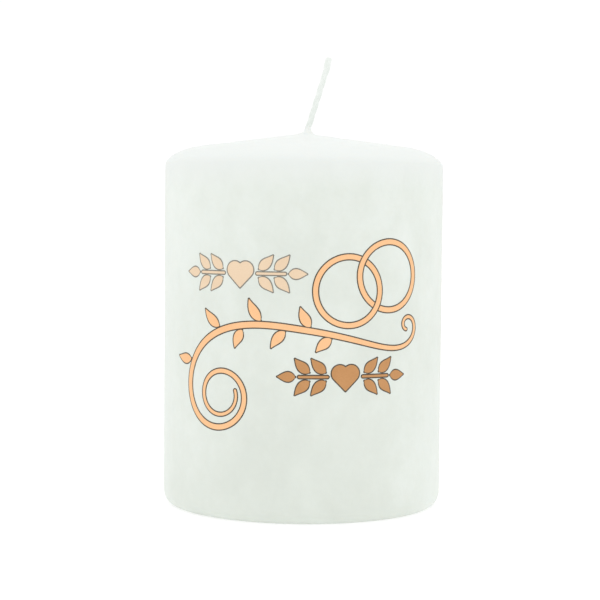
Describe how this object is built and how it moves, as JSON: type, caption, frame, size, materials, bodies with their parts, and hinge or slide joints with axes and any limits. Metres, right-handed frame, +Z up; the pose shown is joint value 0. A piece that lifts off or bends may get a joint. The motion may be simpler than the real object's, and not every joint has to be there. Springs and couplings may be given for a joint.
{
  "type": "pillar candle",
  "caption": "Round white pillar candle with a rounded shoulder, a leaning plaited wick and a gold print of rings, hearts and leaves on its front.",
  "frame": {"origin": "centre of the base, on the surface the candle stands on", "axes": "+Z up along the candle's axis, -Y towards the printed front, +X to the right of it; the wick's free end leans towards +X"},
  "size_m": [0.06, 0.0602, 0.0965],
  "materials": {
    "coat_wax": "smooth dipped wax, satin, slightly translucent, faintly cloudy greenish white",
    "core_wax": "pressed granulated wax, matt, fine grain",
    "wick_cotton": "plaited bleached cotton",
    "priming_wax": "thin translucent wax over the plait",
    "tinplate": "bright rolled tinplate",
    "pale_ink": "flat printed ink, matt, pale peach gold",
    "gold_ink": "flat printed ink, matt, warm gold",
    "copper_ink": "flat printed ink, matt, copper brown",
    "outline_ink": "flat printed ink, matt, warm dark grey"
  },
  "bodies": {
    "root": {"wax_core": "core_wax", "overdip_coat": "coat_wax", "wick_strand_1": "wick_cotton", "wick_strand_2": "wick_cotton", "wick_strand_3": "wick_cotton", "wick_priming": "priming_wax", "wick_sustainer": "tinplate", "upper_row_outline": "outline_ink", "upper_sprig_left": "pale_ink", "upper_heart": "pale_ink", "upper_sprig_right": "pale_ink", "vine_outline": "outline_ink", "vine_scroll": "gold_ink", "vine_leaves": "gold_ink", "rings_outline": "outline_ink", "ring_left": "gold_ink", "ring_right": "gold_ink", "lower_row_outline": "outline_ink", "lower_sprig_left": "copper_ink", "lower_heart": "copper_ink", "lower_sprig_right": "copper_ink"}
  },
  "joints": []
}
